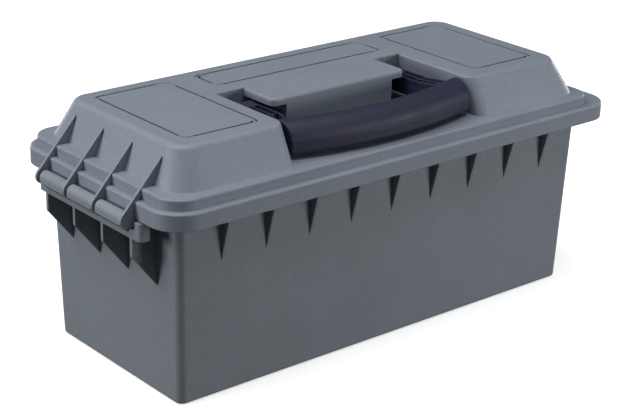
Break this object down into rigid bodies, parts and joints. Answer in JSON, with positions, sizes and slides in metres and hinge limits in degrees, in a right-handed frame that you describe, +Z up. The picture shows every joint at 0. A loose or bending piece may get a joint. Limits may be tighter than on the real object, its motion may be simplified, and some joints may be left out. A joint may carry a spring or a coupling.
{
  "type": "hinged plastic field box",
  "caption": "Rigid ribbed plastic storage box with a domed hinged lid, fold-down carry handle in a top recess, foam lid seal and an end draw latch.",
  "frame": {"origin": "middle of the tub's flat base", "axes": "+X along the box from the hinge end to the latch end, +Z up, the handle folds down towards -Y"},
  "size_m": [0.4124, 0.1712, 0.1664],
  "materials": {
    "tub_plastic": "fine satin grain",
    "lid_plastic": "fine satin grain",
    "handle_plastic": "fine satin grain",
    "seal_foam": "closed-cell foam",
    "pin_steel": "brushed"
  },
  "bodies": {
    "tub": {"tub": "tub_plastic", "latch_pivot_pins": "pin_steel"},
    "lid": {"lid": "lid_plastic", "lid_gasket": "seal_foam"},
    "handle": {"carry_handle": "handle_plastic"},
    "lever": {"latch_lever": "handle_plastic", "latch_claw_pin": "pin_steel"},
    "claw": {"latch_claw": "handle_plastic"}
  },
  "joints": [
    {"name": "lid_hinge", "type": "hinge", "parent": "tub", "child": "lid", "pos_m": [-0.1927, 0, 0.1233], "axis": [0, -1, 0], "range_deg": [0, 105]},
    {"name": "handle_fold", "type": "hinge", "parent": "lid", "child": "handle", "pos_m": [-0.0032, 0.0015, 0.1535], "axis": [-1, 0, 0], "range_deg": [0, 90]},
    {"name": "latch_lever", "type": "hinge", "parent": "tub", "child": "lever", "pos_m": [0.2005, 0, 0.092], "axis": [0, -1, 0], "range_deg": [0, 120]},
    {"name": "latch_claw", "type": "hinge", "parent": "lever", "child": "claw", "pos_m": [0.2005, 0, 0.083], "axis": [0, -1, 0], "range_deg": [-132, 0]}
  ],
  "couplings": [
    {"joint": "latch_claw", "follows": "latch_lever", "ratio": -1.1}
  ]
}
